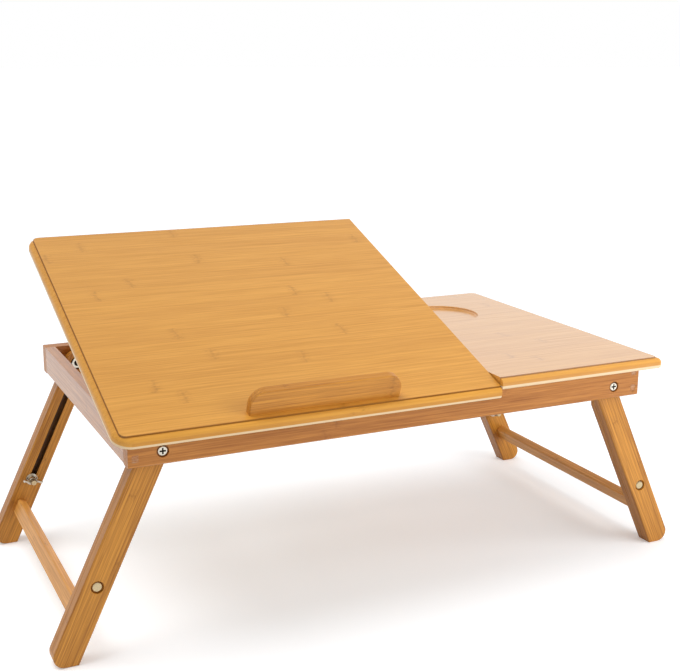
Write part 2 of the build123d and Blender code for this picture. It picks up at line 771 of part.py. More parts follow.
with BuildPart() as pivot_screws:
    for x in (-pivot_x, pivot_x):
        head_face = apron_outer - pivot_counterbore_depth
        with BuildSketch(facing_front(head_face + pivot_head_height)):
            with Locations((x, pivot_z)):
                Circle(pivot_head_radius)
        extrude(amount=pivot_head_height)
        fillet(pivot_screws.edges().filter_by(GeomType.CIRCLE).group_by(Axis.Y)[-1], pivot_head_height / 2)
        with BuildSketch(facing_front(head_face + pivot_head_height)):
            with Locations((x, pivot_z)):
                Rectangle(pivot_recess_length, pivot_recess_width)
                Rectangle(pivot_recess_width, pivot_recess_length)
        extrude(amount=pivot_recess_depth, mode=Mode.SUBTRACT)
    with BuildSketch(facing_front(head_face)):
        with Locations((-pivot_x, pivot_z), (pivot_x, pivot_z)):
            Circle(pivot_radius)
    extrude(amount=head_face - outer_plank_y + outer_plank_thickness)
    mirror(about=Plane.XZ)
keep(pivot_screws.part, "pivot_screws")

with BuildPart() as pivot_spacers:
    with BuildSketch(facing_front(apron_inner)):
        with Locations((-pivot_x, pivot_z), (pivot_x, pivot_z)):
            Circle(spacer_radius)
            Circle(pivot_radius + running_fit, mode=Mode.SUBTRACT)
    extrude(amount=spacer_thickness)
    mirror(about=Plane.XZ)
keep(pivot_spacers.part, "pivot_spacers")

nut_seat_y = outer_plank_y - outer_plank_thickness + pivot_nut_pocket_depth
with BuildPart() as pivot_nuts:
    with BuildSketch(facing_front(nut_seat_y)):
        with Locations((-pivot_x, pivot_z), (pivot_x, pivot_z)):
            RegularPolygon(pivot_nut_width / 2, 6, major_radius=False)
            Circle(pivot_radius + running_fit, mode=Mode.SUBTRACT)
    extrude(amount=pivot_nut_thickness)
    mirror(about=Plane.XZ)
keep(pivot_nuts.part, "pivot_nuts")

bolt_head_seat = outer_plank_y - bolt_counterbore_depth
with BuildPart() as outer_plank:
    with BuildSketch(leg_plane(outer_plank_y)) as outline:
        with BuildLine():
            Polyline((0, half_leg), (foot_reach(half_leg), half_leg), (foot_reach(-half_leg), -half_leg),
                     (0, -half_leg), close=True)
        make_face()
        Circle(half_leg)
        fillet(outline.vertices().sort_by(Axis.X)[-1], foot_radius)
    extrude(amount=outer_plank_thickness)
    chamfer(outer_plank.faces().sort_by(Axis.Y)[-1].edges(), leg_ease)
    with BuildSketch(leg_plane(outer_plank_y)):
        Circle(pivot_radius + running_fit)
        with Locations((bolt_from_pivot, 0)):
            Circle(bolt_radius + running_fit)
    extrude(amount=outer_plank_thickness, mode=Mode.SUBTRACT)
    with BuildSketch(leg_plane(outer_plank_y)):
        with Locations((bolt_from_pivot, 0)):
            Circle(bolt_counterbore_radius)
    extrude(amount=bolt_counterbore_depth, mode=Mode.SUBTRACT)
    with BuildSketch(leg_plane(nut_seat_y)):
        Circle(pivot_nut_pocket_radius)
    extrude(amount=pivot_nut_pocket_depth, mode=Mode.SUBTRACT)
keep_at_corners(outer_plank.part, "outer_plank")

slot_radius = bolt_radius + slot_play
with BuildPart() as stretcher:
    with BuildSketch(leg_plane(leg_inside_y)) as section:
        with Locations((stretcher_from_pivot, 0)):
            Rectangle(stretcher_width, stretcher_thickness)
        chamfer(section.vertices(), stretcher_ease)
    extrude(amount=2 * leg_inside_y)
    with BuildSketch(leg_plane(leg_inside_y + stretcher_tenon)):
        with Locations((stretcher_from_pivot, 0)):
            Rectangle(stretcher_width - 2 * stretcher_shoulder, stretcher_thickness - 2 * stretcher_shoulder)
    extrude(amount=2 * (leg_inside_y + stretcher_tenon))
keep_left_and_right(stretcher.part, "stretcher")

with BuildPart() as inner_plank:
    with BuildSketch(leg_plane(inner_plank_y)) as outline:
        top_round = inner_plank_top + half_leg
        with BuildLine():
            Polyline((top_round, half_leg), (foot_reach(half_leg), half_leg),
                     (foot_reach(-half_leg), -half_leg), (top_round, -half_leg), close=True)
        make_face()
        with Locations((top_round, 0)):
            Circle(half_leg)
        fillet(outline.vertices().sort_by(Axis.X)[-1], foot_radius)
    extrude(amount=inner_plank_thickness)
    chamfer(inner_plank.faces().sort_by(Axis.Y)[0].edges(), leg_ease)
    with BuildSketch(leg_plane(inner_plank_y)):
        with Locations((bolt_from_pivot - height_travel / 2, 0)):
            SlotCenterToCenter(height_travel, 2 * slot_radius)
    extrude(amount=inner_plank_thickness, mode=Mode.SUBTRACT)
    add(stretcher.part, mode=Mode.SUBTRACT)
keep_at_corners(inner_plank.part, "inner_plank")

with BuildPart() as bolts:
    with BuildSketch(leg_plane(bolt_head_seat + bolt_head_height)):
        with Locations((bolt_from_pivot, 0)):
            Circle(bolt_head_radius)
    extrude(amount=bolt_head_height)
    fillet(bolts.edges().filter_by(GeomType.CIRCLE).group_by(Axis.Y)[-1], bolt_head_round)
    with BuildSketch(leg_plane(bolt_head_seat)):
        with Locations((bolt_from_pivot, 0)):
            Circle(bolt_radius)
    extrude(amount=bolt_length)
    mirror(about=Plane.XZ)
keep_left_and_right(bolts.part, "bolts")

with BuildPart() as washers:
    with BuildSketch(leg_plane(leg_inside_y)):
        with Locations((bolt_from_pivot, 0)):
            Circle(washer_radius)
            Circle(bolt_radius + running_fit, mode=Mode.SUBTRACT)
    extrude(amount=washer_thickness)
    mirror(about=Plane.XZ)
keep_left_and_right(washers.part, "washers")

# A wing nut: a barrel on the bolt, and two wings that flare away from the leg
nut_face = leg_inside_y - washer_thickness - nut_play
with BuildPart() as wing_nut:
    with BuildSketch(leg_plane(nut_face)):
        with Locations((bolt_from_pivot, 0)):
            Circle(nut_radius)
    extrude(amount=nut_length, taper=nut_taper)
    # The wings' plane holds the bolt's axis: its X runs across the leg, its Y away from the leg
    nut_seat = leg_plane(nut_face)
    wing_plane = Plane(origin=nut_seat.from_local_coords((bolt_from_pivot, 0, 0)), x_dir=nut_seat.y_dir,
                       z_dir=nut_seat.x_dir)
    for side in (-1, 1):
        with BuildSketch(wing_plane.offset(-wing_thickness / 2)) as wing:
            with BuildLine():
                Polyline((side * wing_root, wing_root_bottom), (side * wing_waist, wing_waist_height),
                         (side * wing_span / 2, wing_reach), (side * wing_tip, wing_reach),
                         (side * wing_root, wing_root_top), close=True)
            make_face()
            fillet(wing.vertices().sort_by(Axis.Y)[-2:], wing_corner)
        extrude(amount=wing_thickness)
    with BuildSketch(leg_plane(nut_face + nut_play)):
        with Locations((bolt_from_pivot, 0)):
            Circle(bolt_radius + running_fit)
    extrude(amount=2 * wing_reach, mode=Mode.SUBTRACT)
keep_at_corners(wing_nut.part, "wing_nut")
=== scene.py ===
import json
import math

import bmesh
import bpy
from mathutils import Matrix, Vector


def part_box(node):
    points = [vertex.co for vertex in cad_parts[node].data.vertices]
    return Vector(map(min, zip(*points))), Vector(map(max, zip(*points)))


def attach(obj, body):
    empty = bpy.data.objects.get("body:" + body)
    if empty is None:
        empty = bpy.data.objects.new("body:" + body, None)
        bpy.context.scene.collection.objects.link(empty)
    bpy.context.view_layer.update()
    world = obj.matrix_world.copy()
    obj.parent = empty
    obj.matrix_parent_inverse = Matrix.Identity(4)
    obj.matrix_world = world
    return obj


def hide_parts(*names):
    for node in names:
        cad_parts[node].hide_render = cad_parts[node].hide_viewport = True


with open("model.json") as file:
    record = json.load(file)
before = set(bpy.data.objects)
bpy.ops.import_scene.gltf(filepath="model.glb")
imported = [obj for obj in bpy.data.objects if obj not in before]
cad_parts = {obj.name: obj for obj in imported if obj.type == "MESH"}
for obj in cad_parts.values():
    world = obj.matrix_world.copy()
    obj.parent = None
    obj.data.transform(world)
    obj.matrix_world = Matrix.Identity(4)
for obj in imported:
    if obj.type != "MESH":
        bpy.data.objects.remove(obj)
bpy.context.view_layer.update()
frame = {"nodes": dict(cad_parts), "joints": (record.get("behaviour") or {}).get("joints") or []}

bl_info = {
    "name": "Folding laptop stand",
    "version": (1, 0, 0),
    "blender": (4, 5, 0),
    "location": "View3D > Sidebar > Laptop stand",
    "description": "Finishes a folding bamboo laptop stand with a drawer: wood, hardware and stage",
    "category": "Object",
}

MM = 0.001
X_AXIS = Vector((1, 0, 0))
Y_AXIS = Vector((0, 1, 0))
Z_AXIS = Vector((0, 0, 1))
CORNERS = [f"{end}_{side}" for end in ("front", "back") for side in ("left", "right")]
JOINTS = {joint["name"]: joint for joint in frame["joints"]}
# How far each wing nut was turned when it was last tightened, in degrees from across the leg
WING_TURN = {"front_left": 70, "front_right": 85, "back_left": 15, "back_right": -20}

# Directions and places of the slanted pieces, taken from the frame
HINGE_LINE = Vector(JOINTS["top_tilt"]["pos_m"])
REST_TILT = math.radians(-JOINTS["top_tilt"]["range_deg"][0])
UP_LEG = {side: Vector(JOINTS[f"{side}_leg_height"]["axis"]) for side in ("left", "right")}

# Sizes of the CAD pieces that the wood's patterns follow, in millimetres
MOULDING_WIDTH = 5.0
PAST_OPEN_SIDE = 50.0  # how far the painted shade line of the moulding's step runs on past the edge where the two panels meet
FIXED_FIELD_CORNER = 3.0
TILTING_FIELD_CORNER = 6.0
HALF_LEG = 12
SLOT_HALF_WIDTH = 3.4
SLOT_ENDS = (28, 131)  # down the leg, from its pivot
SLOT_WALLS = (128.3, 136.1)  # from the stand's middle: an inner plank, and the outer one's face behind it

# How a CAD node's loose triangles are joined before its edges are rounded
JOIN_WITHIN = 0.002 * MM
FLAT_WITHIN = math.radians(0.5)
ROUNDED_ABOVE = math.radians(38)
MACHINED_EDGE = 0.15 * MM
SHEET_EDGE = 0.1 * MM


def linear(colour):
    """A colour written as sRGB hex, such as "#C68953", as linear red, green, blue and a full alpha."""
    channels = [int(colour[start:start + 2], 16) / 255 for start in (1, 3, 5)]
    return [c / 12.92 if c <= 0.04045 else ((c + 0.055) / 1.055) ** 2.4 for c in channels] + [1.0]


def add_node(tree, kind, inputs=None, **settings):
    """Add a shader node, with its settings, and with its sockets set to values or linked to other sockets."""
    node = tree.nodes.new(kind)
    for name, value in settings.items():
        setattr(node, name, value)
    for socket, value in (inputs or {}).items():
        if isinstance(value, bpy.types.NodeSocket):
            tree.links.new(value, node.inputs[socket])
        else:
            node.inputs[socket].default_value = value
    return node


# ---------------------------------------------------------------- settings

def colour_property(name, description, colour):
    """A colour that a user can change, given as sRGB hex."""
    return bpy.props.FloatVectorProperty(name=name, description=description, subtype="COLOR", size=4,
                                         min=0, max=1, default=linear(colour))


def length_property(name, description, default, least=0):
    """A length that a user can change, given in millimetres."""
    return bpy.props.FloatProperty(name=name, description=description, subtype="DISTANCE", unit="LENGTH",
                                   default=default * MM, min=least * MM)


class BambooSettings(bpy.types.PropertyGroup):
    """Tones and sizes of the laminated bamboo"""
    panel_colour: colour_property("Panels", "Clear wood of the two panels", "#E5A545")
    panel_fibre: colour_property("Panel fibres", "Darker fibres of the panels", "#B87826")
    apron_colour: colour_property("Frame", "Clear wood of the aprons, rails and drawer front", "#C5823A")
    apron_fibre: colour_property("Frame fibres", "Darker fibres of the frame and the ledge", "#92541D")
    leg_colour: colour_property("Legs", "Clear wood of the legs and the ledge", "#D59237")
    leg_fibre: colour_property("Leg fibres", "Darker fibres of the legs", "#894F17")
    light_colour: colour_property("Light parts", "Clear wood of stretchers, drawer boards and prop",
                                  "#E3A352")
    light_fibre: colour_property("Light fibres", "Darker fibres of the light parts", "#B47631")
    # Painted light along the panels' underside, for the floor's bounce; on the rails' end grain the same
    # colour gives their scratches
    bounce_and_scratch_pale: colour_property("Pale ply", "Ply under the panels, and scratches on end grain", "#EBD5AE")
    # Painted shade: the dark line in the step of the panels' moulding stands in for the step's shadow
    step_shade_colour: colour_property("Stain", "Stain in the corner of the panels' moulding", "#7C4A1A")
    # Painted shade: the slots' darkness stands in for the shadow inside them, with some darker bare wood
    slot_shade_and_bare_wood: colour_property("Slot", "Painted shade and bare wood in the slots of the legs", "#2E1A0C")
    slot_shade: bpy.props.FloatProperty(name="Slot shade", description="How dark the slots of the legs are",
                                        subtype="FACTOR", default=0.8, min=0, max=1)
    strip_width: length_property("Strip width", "Width of one bamboo strip", 19, 2)
    # Height of the band of painted bounce light along the panels' underside
    bounce_band_thickness: length_property("Pale ply thickness", "Thickness of the pale ply", 3)
    leg_strip_width: length_property("Leg strip width", "Width of a strip in the legs", 6, 2)
    ring_spacing: length_property("Node spacing", "Distance between the culm's nodes", 330, 50)
    edge_round: length_property("Edge rounding", "Sanded radius of the wood's edges", 0.4)


class HardwareSettings(bpy.types.PropertyGroup):
    """Tones and sizes of the metal pieces"""
    nickel_colour: colour_property("Nickel", "Bright nickel plate of pivots, pins and wing nuts", "#D8CFBF")
    bolt_colour: colour_property("Bolts", "Warmer nickel plate of the carriage bolts", "#CBB68F")
    zinc_colour: colour_property("Zinc", "Zinc plate of hinges, brackets and wood screws", "#A4A8AE")
    recess_colour: colour_property("Recess", "Shadow and polish in the driver recess", "#1D1712")
    wing_length: length_property("Wing length", "Length of a wing from root to tip", 9.5, 2)
    wing_width: length_property("Wing width", "Width of a wing", 5.6, 2)
    wing_thickness: length_property("Wing thickness", "Thickness of a wing", 2.4, 0.5)


class StageSettings(bpy.types.PropertyGroup):
    """Light and floor"""
    key_strength: bpy.props.FloatProperty(name="Key light", description="Strength of the main light",
                                          default=1.6, min=0)
    fill_strength: bpy.props.FloatProperty(name="Fill light", unit="POWER", default=8.0, min=0,
                                           description="Strength of the light from the right")
    ambient: bpy.props.FloatProperty(name="Ambient", description="Light from all round",
                                     default=0.43, min=0)
    floor_colour: colour_property("Floor", "Colour of the floor", "#F5F9FD")
    floor_lift: bpy.props.FloatProperty(name="Floor lift", default=0.26, min=0,
                                        description="White added to the floor as it is seen")


# ---------------------------------------------------------------- wood

def grain_frame(along, across, origin=(0, 0, 0)):
    """Turn and shift that take a point of the piece to millimetres along, across and through its wood."""
    along = Vector(along).normalized()
    across = Vector(across).normalized()
    basis = Matrix((along, across, along.cross(across)))
    return basis.to_euler(), -(basis @ Vector(origin)) / MM


# The fibres' textures: label, length and two widths in millimetres, detail, and weight in the tone
FIBRES = (("bundles", (80, 1.8, 1.8), 4, 2.2), ("threads", (28, 0.6, 0.6), 2, 1.2),
          ("clouds", (120, 9, 9), 2, 0.5))
MIDDLE_TONE = 0.64  # share of clear wood where each texture is at its middle
STRIP_WEIGHT = 0.25  # how much the strips differ in tone
STRIP_SHIFT = 400  # how far one strip's fibres are moved at most, in sizes of the texture
RING_SHIFT = 3.7  # how far one strip's culm nodes are moved at most, in node spacings
RING_WOBBLE = 9.0  # how far a culm node strays along its strip at most, in millimetres
RING_TONE = 0.75  # tone of a culm node beside that of a fibre
SPECKLE_SCALE = (0.22, 0.9, 0.9)  # speckles per millimetre in a culm node
SCRATCH_SCALE = (1.0, 0.9, 0.13)  # scratches per millimetre on end grain
END_GRAIN_SHADE = 0.45
SEAM_DEPTH = -2.0  # height of a seam beside that of the fibres
FIBRE_DEPTH = 0.05 * MM


def bamboo(name, clear, fibre, grain, strip, ply=3.5, seed=0, contrast=0.85, sheen=0.3, gloss=0.15,
           coat_ior=1.5, pale_below=None, pale=None, end_grain=None, groove=None, slot=None):
    """Strip-laminated bamboo, sanded and given a clear lacquer. The eye sees strips of slightly different
    tone, long straight fibres that turn to dots on end grain, the culm's nodes as mottled brown patches
    across a strip, fine seams between strips, and a sheen that turns white at a glancing angle."""
    material = bpy.data.materials.new(name)
    material.use_nodes = True
    tree = material.node_tree
    tree.nodes.clear()
    turn, start = grain
    wood = bpy.context.scene.stand_bamboo
    place = add_node(tree, "ShaderNodeTexCoord")
    grain_mm = add_node(tree, "ShaderNodeMapping", {
        "Vector": place.outputs["Object"], "Rotation": turn, "Location": start, "Scale": (1 / MM,) * 3})
    split = add_node(tree, "ShaderNodeSeparateXYZ", {"Vector": grain_mm.outputs["Vector"]})
    along, across, through = (split.outputs[axis] for axis in "XYZ")

    # Each strip of each ply has its own number, and from that its own tone and shift
    strip_mm = strip / MM
    strip_place = add_node(tree, "ShaderNodeMath", {0: across, 1: strip_mm}, operation="DIVIDE")
    strip_number = add_node(tree, "ShaderNodeMath", {0: strip_place.outputs[0]}, operation="FLOOR")
    ply_place = add_node(tree, "ShaderNodeMath", {0: through, 1: ply}, operation="DIVIDE")
    ply_number = add_node(tree, "ShaderNodeMath", {0: ply_place.outputs[0]}, operation="FLOOR")
    strip_key = add_node(tree, "ShaderNodeCombineXYZ", {
        "X": strip_number.outputs[0], "Y": ply_number.outputs[0], "Z": seed + 0.5})
    strip_random = add_node(tree, "ShaderNodeTexWhiteNoise", {"Vector": strip_key.outputs[0]})
    strip_shift = add_node(tree, "ShaderNodeVectorMath", {
        0: strip_random.outputs["Color"], 1: (STRIP_SHIFT,) * 3}, operation="MULTIPLY")

    # Fibres: bundles about 1.8 mm wide and 80 mm long, finer ones of 0.6 mm, and soft clouds
    textures = {}
    for label, size, detail, _ in FIBRES:
        scaled = add_node(tree, "ShaderNodeVectorMath", {
            0: grain_mm.outputs["Vector"], 1: [1 / length for length in size]}, operation="MULTIPLY")
        moved = add_node(tree, "ShaderNodeVectorMath", {
            0: scaled.outputs[0], 1: strip_shift.outputs[0]}, operation="ADD")
        noise = add_node(tree, "ShaderNodeTexNoise", {
            "Vector": moved.outputs[0], "Scale": 1.0, "Detail": detail, "Roughness": 0.55})
        textures[label] = noise.outputs["Fac"]
    tone = MIDDLE_TONE
    weights = [(textures[label], weight) for label, _, _, weight in FIBRES]
    for value, weight in [*weights, (strip_random.outputs["Value"], STRIP_WEIGHT)]:
        centred = add_node(tree, "ShaderNodeMath", {0: value, 1: 0.5}, operation="SUBTRACT")
        summed = add_node(tree, "ShaderNodeMath", {0: centred.outputs[0], 1: weight * contrast, 2: tone},
                          operation="MULTIPLY_ADD")
        tone = summed.outputs[0]
    colour = add_node(tree, "ShaderNodeMix", {0: tone, 6: fibre, 7: clear}, data_type="RGBA",
                      clamp_factor=True)

    # Nodes of the culm: a speckled patch across the strip, with a faint line in it
    spacing = wood.ring_spacing / MM
    strip_start = add_node(tree, "ShaderNodeMath", {
        0: strip_random.outputs["Value"], 1: RING_SHIFT * spacing, 2: along}, operation="MULTIPLY_ADD")
    wobble = add_node(tree, "ShaderNodeMath", {
        0: textures["clouds"], 1: RING_WOBBLE, 2: strip_start.outputs[0]}, operation="MULTIPLY_ADD")
    ring_distance = add_node(tree, "ShaderNodeMath", {0: wobble.outputs[0], 1: spacing / 2},
                             operation="PINGPONG")
    line = add_node(tree, "ShaderNodeMapRange", {
        "Value": ring_distance.outputs[0], "From Min": 0.3, "From Max": 2.0, "To Min": 0.16, "To Max": 0.0},
        interpolation_type="SMOOTHSTEP")
    patch = add_node(tree, "ShaderNodeMapRange", {
        "Value": ring_distance.outputs[0], "From Min": 1.0, "From Max": 9.0, "To Min": 1.0, "To Max": 0.0},
        interpolation_type="SMOOTHSTEP")
    speckle_place = add_node(tree, "ShaderNodeVectorMath", {
        0: grain_mm.outputs["Vector"], 1: SPECKLE_SCALE}, operation="MULTIPLY")
    speckle_noise = add_node(tree, "ShaderNodeTexNoise", {
        "Vector": speckle_place.outputs[0], "Scale": 1.0, "Detail": 3.0, "Roughness": 0.6})
    speckle = add_node(tree, "ShaderNodeMapRange", {
        "Value": speckle_noise.outputs["Fac"], "From Min": 0.45, "From Max": 0.75, "To Min": 0.0,
        "To Max": 0.6})
    speckled = add_node(tree, "ShaderNodeMath", {
        0: patch.outputs[0], 1: speckle.outputs[0], 2: line.outputs[0]}, operation="MULTIPLY_ADD")
    ring_tone = [channel * RING_TONE for channel in fibre[:3]] + [1.0]
    finished = add_node(tree, "ShaderNodeMix", {0: speckled.outputs[0], 6: colour.outputs[2], 7: ring_tone},
                        data_type="RGBA", clamp_factor=True)

    # Seams between strips
    seam_distance = add_node(tree, "ShaderNodeMath", {0: across, 1: strip_mm / 2}, operation="PINGPONG")
    seam = add_node(tree, "ShaderNodeMapRange", {
        "Value": seam_distance.outputs[0], "From Min": 0.08, "From Max": 0.45, "To Min": 0.4, "To Max": 0.0},
        interpolation_type="SMOOTHSTEP")
    finished = add_node(tree, "ShaderNodeMix", {0: seam.outputs[0], 6: finished.outputs[2], 7: fibre},
                        data_type="RGBA")

    # Painted light: the lowest band of a panel is painted pale, for light bounced up from the white floor
    # onto its lower edge
    if pale_below is not None:
        below = add_node(tree, "ShaderNodeMapRange", {
            "Value": through, "From Min": pale_below - 0.2, "From Max": pale_below + 0.2,
            "To Min": 0.8, "To Max": 0.0})
        finished = add_node(tree, "ShaderNodeMix", {0: below.outputs[0], 6: finished.outputs[2], 7: pale},
                            data_type="RGBA")

    # The end grain of tenons is darker, with pale scratches
    if end_grain is not None:
        reach = add_node(tree, "ShaderNodeMath", {0: along}, operation="ABSOLUTE")
        at_end = add_node(tree, "ShaderNodeMath", {0: reach.outputs[0], 1: end_grain},
                          operation="GREATER_THAN")
        scratch_place = add_node(tree, "ShaderNodeVectorMath", {
            0: grain_mm.outputs["Vector"], 1: SCRATCH_SCALE}, operation="MULTIPLY")
        scratches = add_node(tree, "ShaderNodeTexNoise", {
            "Vector": scratch_place.outputs[0], "Scale": 1.0, "Detail": 3.0, "Roughness": 0.7})
        scratched = add_node(tree, "ShaderNodeMapRange", {
            "Value": scratches.outputs["Fac"], "From Min": 0.48, "From Max": 0.8, "To Max": 0.4})
        end_mask = add_node(tree, "ShaderNodeMath", {0: at_end.outputs[0], 1: scratched.outputs[0]},
                            operation="MULTIPLY")
        end_shade = add_node(tree, "ShaderNodeMath", {0: at_end.outputs[0], 1: END_GRAIN_SHADE},
                             operation="MULTIPLY")
        finished = add_node(tree, "ShaderNodeMix", {
            0: end_shade.outputs[0], 6: finished.outputs[2], 7: fibre}, data_type="RGBA")
        finished = add_node(tree, "ShaderNodeMix", {0: end_mask.outputs[0], 6: finished.outputs[2], 7: pale},
                            data_type="RGBA")

    # Painted shade in the step where a panel's field drops to its moulding: a dark line round a rounded
    # rectangle
    if groove is not None:
        centre, half_size, corner_radius = groove
        offset = add_node(tree, "ShaderNodeVectorMath", {0: grain_mm.outputs["Vector"], 1: centre},
                          operation="SUBTRACT")
        size = add_node(tree, "ShaderNodeVectorMath", {0: offset.outputs[0]}, operation="ABSOLUTE")
        through_all = 1000.0
        inner = [half - corner_radius for half in half_size] + [through_all]
        beyond = add_node(tree, "ShaderNodeVectorMath", {0: size.outputs[0], 1: inner}, operation="SUBTRACT")
        outside = add_node(tree, "ShaderNodeVectorMath", {0: beyond.outputs[0], 1: (0, 0, 0)},
                           operation="MAXIMUM")
        radius = add_node(tree, "ShaderNodeVectorMath", {0: outside.outputs[0]}, operation="LENGTH")
        from_line = add_node(tree, "ShaderNodeMath", {0: radius.outputs["Value"], 1: corner_radius},
                             operation="SUBTRACT")
        distance = add_node(tree, "ShaderNodeMath", {0: from_line.outputs[0]}, operation="ABSOLUTE")
        step_shade = add_node(tree, "ShaderNodeMapRange", {
            "Value": distance.outputs[0], "From Min": 0.15, "From Max": 0.7, "To Min": 0.75, "To Max": 0.0},
            interpolation_type="SMOOTHSTEP")
        finished = add_node(tree, "ShaderNodeMix", {
            0: step_shade.outputs[0], 6: finished.outputs[2], 7: wood.step_shade_colour}, data_type="RGBA")
        # Outside that line, on the rounded edge, the lacquer is thinner
        thinner = add_node(tree, "ShaderNodeMapRange", {
            "Value": from_line.outputs[0], "From Min": -0.5, "From Max": 0.5,
            "To Min": gloss, "To Max": 0.1})

    # Painted shade inside the slot of a leg, together with its darker bare wood: the slot's walls and the
    # outer plank's face behind it
    if slot is not None:
        either_side = add_node(tree, "ShaderNodeMath", {0: through}, operation="ABSOLUTE")
        inside = wood.slot_shade
        for value, (lowest, highest) in zip((along, across, either_side.outputs[0]), slot):
            near = add_node(tree, "ShaderNodeMath", {
                0: value, 1: (lowest + highest) / 2, 2: (highest - lowest) / 2}, operation="COMPARE")
            both = add_node(tree, "ShaderNodeMath", {0: inside, 1: near.outputs[0]}, operation="MULTIPLY")
            inside = both.outputs[0]
        finished = add_node(tree, "ShaderNodeMix", {
            0: inside, 6: finished.outputs[2], 7: wood.slot_shade_and_bare_wood}, data_type="RGBA")

    # Under the lacquer the fibres and seams are just felt, and the clear wood is the smoothest
    roughness = add_node(tree, "ShaderNodeMapRange", {
        "Value": textures["bundles"], "From Min": 0.3, "From Max": 0.7, "To Min": 0.5, "To Max": 0.4})
    height = add_node(tree, "ShaderNodeMath", {0: textures["threads"], 1: textures["bundles"]},
                      operation="ADD")
    lowered = add_node(tree, "ShaderNodeMath", {0: seam.outputs[0], 1: SEAM_DEPTH, 2: height.outputs[0]},
                       operation="MULTIPLY_ADD")
    bump = add_node(tree, "ShaderNodeBump", {
        "Height": lowered.outputs[0], "Strength": 0.2, "Distance": FIBRE_DEPTH})
    shader = add_node(tree, "ShaderNodeBsdfPrincipled", {
        "Base Color": finished.outputs[2], "Roughness": roughness.outputs[0], "Normal": bump.outputs[0],
        "IOR": 1.5, "Specular IOR Level": sheen, "Coat Weight": gloss, "Coat Roughness": 0.2,
        "Coat IOR": coat_ior})
    if groove is not None:
        tree.links.new(thinner.outputs[0], shader.inputs["Coat Weight"])
    add_node(tree, "ShaderNodeOutputMaterial", {"Surface": shader.outputs[0]})
    return material


def dress(node, material, rounding):
    """Give a CAD node its material, and softly rounded edges that leave its mesh as it is."""
    piece = frame["nodes"][node]
    piece.data.materials.clear()
    piece.data.materials.append(material)
    piece.data.shade_smooth()
    weld = piece.modifiers.new("Join triangles", "WELD")
    weld.merge_threshold = JOIN_WITHIN
    flatten = piece.modifiers.new("Join flat faces", "DECIMATE")
    flatten.decimate_type = "DISSOLVE"
    flatten.angle_limit = FLAT_WITHIN
    bevel = piece.modifiers.new("Sanded edges", "BEVEL")
    bevel.width = rounding
    bevel.segments = 2
    bevel.limit_method = "ANGLE"
    bevel.angle_limit = ROUNDED_ABOVE
    shading = piece.modifiers.new("Flat faces stay flat", "WEIGHTED_NORMAL")
    shading.keep_sharp = True


def dress_wood(nodes, name, clear, fibre, grain, **pattern):
    """One bamboo material for each node, so that no two pieces show the same fibres."""
    wood = bpy.context.scene.stand_bamboo
    for seed, node in enumerate(nodes):
        material = bamboo(f"{name} {node}", clear, fibre, grain, seed=seed, **pattern)
        dress(node, material, wood.edge_round)


class STAND_OT_frame(bpy.types.Operator):
    """Finish the aprons, rails, divider, bay walls, battens and dowels of the frame"""
    bl_idname = "stand.frame"
    bl_label = "Frame"

    def execute(self, context):
        wood = context.scene.stand_bamboo
        strip = wood.strip_width / 2
        underside = (0, 0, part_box("front_apron")[0].z)
        lengthwise = grain_frame(X_AXIS, Z_AXIS, underside)
        crosswise = grain_frame(Y_AXIS, Z_AXIS, underside)
        dress_wood(["front_apron", "back_apron", "front_bay_wall", "back_bay_wall"], "Frame bamboo",
                   wood.apron_colour, wood.apron_fibre, lengthwise, strip=strip)
        rail_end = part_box("left_rail")[1].y / MM
        skin = 0.3  # depth of the end grain on a tenon, in millimetres
        dress_wood(["left_rail", "right_rail"], "Rail bamboo", wood.apron_colour, wood.apron_fibre,
                   crosswise, strip=strip, gloss=0.7, end_grain=rail_end - skin, pale=wood.bounce_and_scratch_pale)
        dress_wood(["divider", "left_batten", "right_batten"], "Batten bamboo", wood.apron_colour,
                   wood.apron_fibre, crosswise, strip=strip)
        dress_wood(["panel_dowels"], "Dowel bamboo", wood.light_colour, wood.light_fibre,
                   grain_frame(Z_AXIS, X_AXIS), strip=wood.leg_strip_width)
        return {"FINISHED"}


